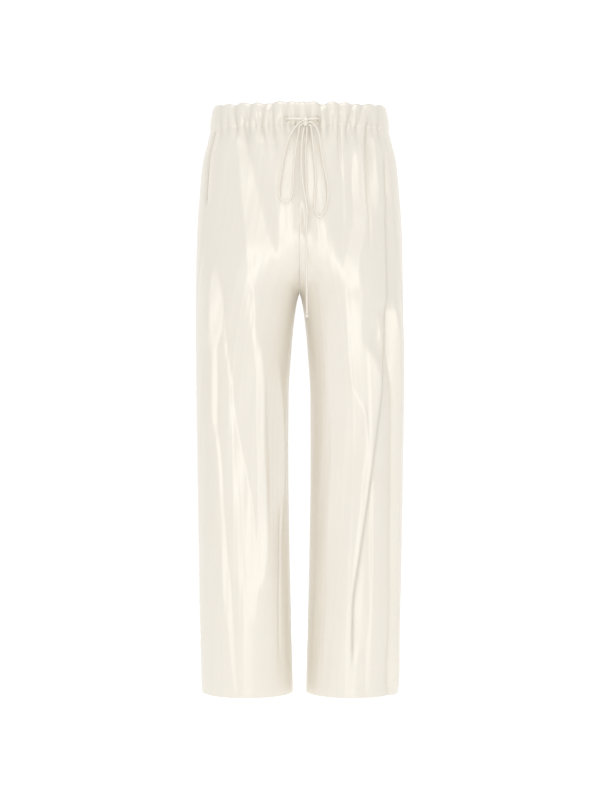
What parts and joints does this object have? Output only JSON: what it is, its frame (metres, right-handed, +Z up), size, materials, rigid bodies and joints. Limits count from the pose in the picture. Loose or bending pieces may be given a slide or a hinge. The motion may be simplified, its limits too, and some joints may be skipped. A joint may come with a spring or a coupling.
{
  "type": "drawstring trousers",
  "caption": "Wide straight satin trousers with a gathered casing and a drawstring tied in a bow, filled out as when worn, with open waist and hems",
  "frame": {"origin": "centre of the waist ring, halfway up the drawstring casing, where the wearer's waist holds the trousers", "axes": "+Z up, the front faces -Y, the wearer's right leg is on -X"},
  "size_m": [0.3858, 0.2408, 1.082],
  "materials": {
    "satin": "ivory satin, lustrous along the folds",
    "satin_cord": "narrow rouleau of the same ivory satin",
    "thread": "worked buttonhole thread, ivory"
  },
  "bodies": {
    "root": {"front_right": "satin", "front_left": "satin", "back_right": "satin", "back_left": "satin", "waistband_front": "satin", "waistband_back": "satin", "buttonhole_right": "thread", "buttonhole_left": "thread", "drawstring_lead_right": "satin_cord", "drawstring_lead_left": "satin_cord", "drawstring_knot": "satin_cord", "drawstring_loop_right": "satin_cord", "drawstring_loop_left": "satin_cord", "drawstring_end_long": "satin_cord", "drawstring_end_short": "satin_cord", "drawstring_end_knot": "satin_cord"}
  },
  "joints": []
}
